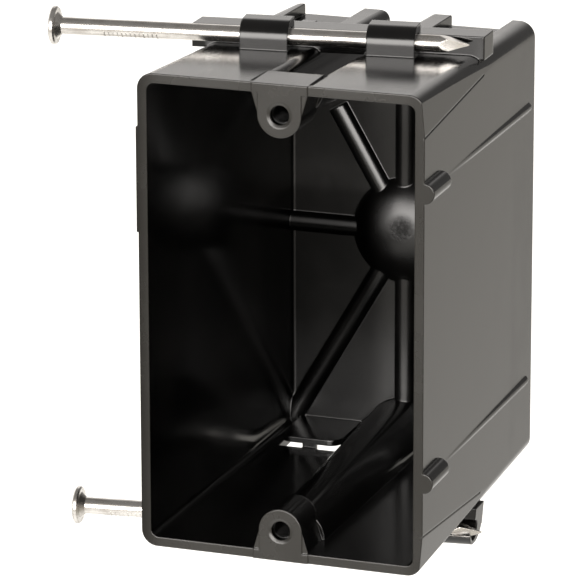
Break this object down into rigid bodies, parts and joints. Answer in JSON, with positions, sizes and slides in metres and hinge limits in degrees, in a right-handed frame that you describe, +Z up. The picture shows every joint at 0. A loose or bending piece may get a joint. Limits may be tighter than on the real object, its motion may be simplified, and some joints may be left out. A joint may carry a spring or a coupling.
{
  "type": "new work outlet box",
  "caption": "Deep moulded single-gang wall box that nails to a stud, with captive nails, ears for a device and cable knockouts.",
  "frame": {"origin": "midway between the two device screw holes, in the plane of the ear faces at the open front", "axes": "+X towards the stud, +Y into the box from its open front, +Z up"},
  "size_m": [0.0876, 0.0732, 0.1074],
  "materials": {
    "moulding": "dark glossy hard plastic as it leaves the mould",
    "nail_steel": "bright plain steel"
  },
  "bodies": {
    "root": {"outlet_box": "moulding", "upper_nail": "nail_steel", "lower_nail": "nail_steel"}
  },
  "joints": []
}
